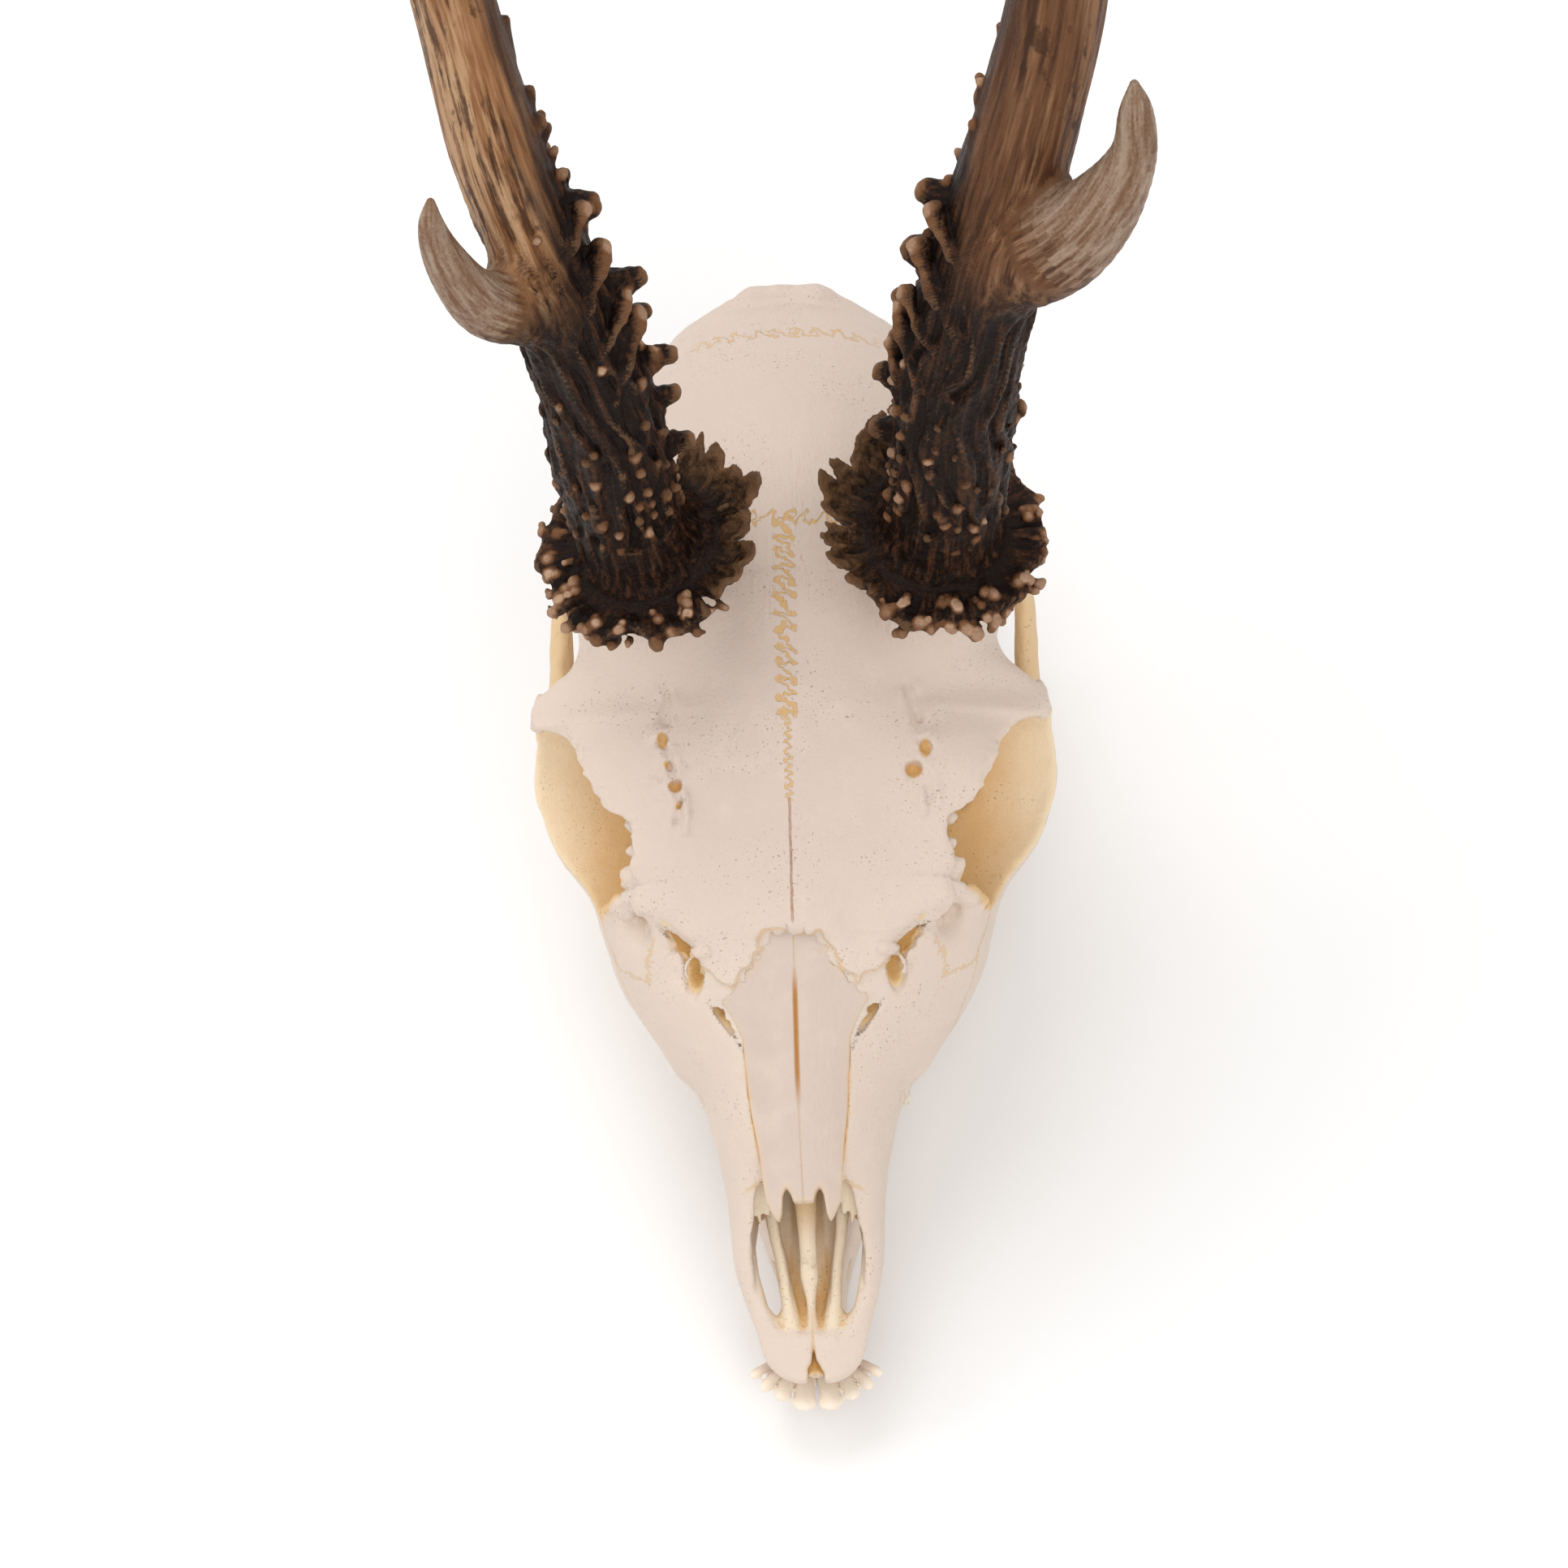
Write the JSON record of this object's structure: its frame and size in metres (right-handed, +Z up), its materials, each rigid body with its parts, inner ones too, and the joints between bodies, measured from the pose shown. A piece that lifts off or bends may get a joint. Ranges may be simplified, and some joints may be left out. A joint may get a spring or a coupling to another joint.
{
  "type": "roe deer skull",
  "caption": "Bleached skull of a roe buck with its lower jaws, teeth and dark, pearled, branched antlers, resting on its jaws.",
  "frame": {"origin": "centre of the outline box, on the ground that the lower jaws rest on", "axes": "+Z up, the nose points to -Y, +X to the right of a viewer who faces the nose, which is the animal's left"},
  "size_m": [0.1196, 0.1986, 0.3295],
  "materials": {
    "cranium_bone": "dry bleached bone, cream to cool grey, matt with a faint sheen",
    "face_bone": "dry bleached bone, warmer in the hollows, matt with a faint sheen",
    "inner_bone": "thin amber bone inside the nose",
    "jaw_bone": "dry bleached bone with cream enamel teeth",
    "antler_dark": "rough near-black brown antler with pale tan pearl tips",
    "antler_beam": "tan brown antler with dark lengthwise grain",
    "antler_tine": "pale polished antler, grey to cream towards the tip"
  },
  "bodies": {
    "root": {"braincase": "cranium_bone", "vomer": "inner_bone", "frontal_left": "cranium_bone", "frontal_right": "cranium_bone", "nasal_left": "face_bone", "nasal_right": "face_bone", "maxilla_left": "face_bone", "maxilla_right": "face_bone", "premaxilla_left": "face_bone", "premaxilla_right": "face_bone", "zygomatic_left": "face_bone", "zygomatic_right": "face_bone", "mandible_left": "jaw_bone", "mandible_right": "jaw_bone", "antler_left_lower_beam": "antler_dark", "antler_left_upper_beam": "antler_beam", "antler_left_top_tine": "antler_tine", "antler_left_front_tine": "antler_tine", "antler_left_rear_tine": "antler_tine", "antler_right_lower_beam": "antler_dark", "antler_right_upper_beam": "antler_beam", "antler_right_top_tine": "antler_tine", "antler_right_front_tine": "antler_tine", "antler_right_rear_tine": "antler_tine"}
  },
  "joints": []
}
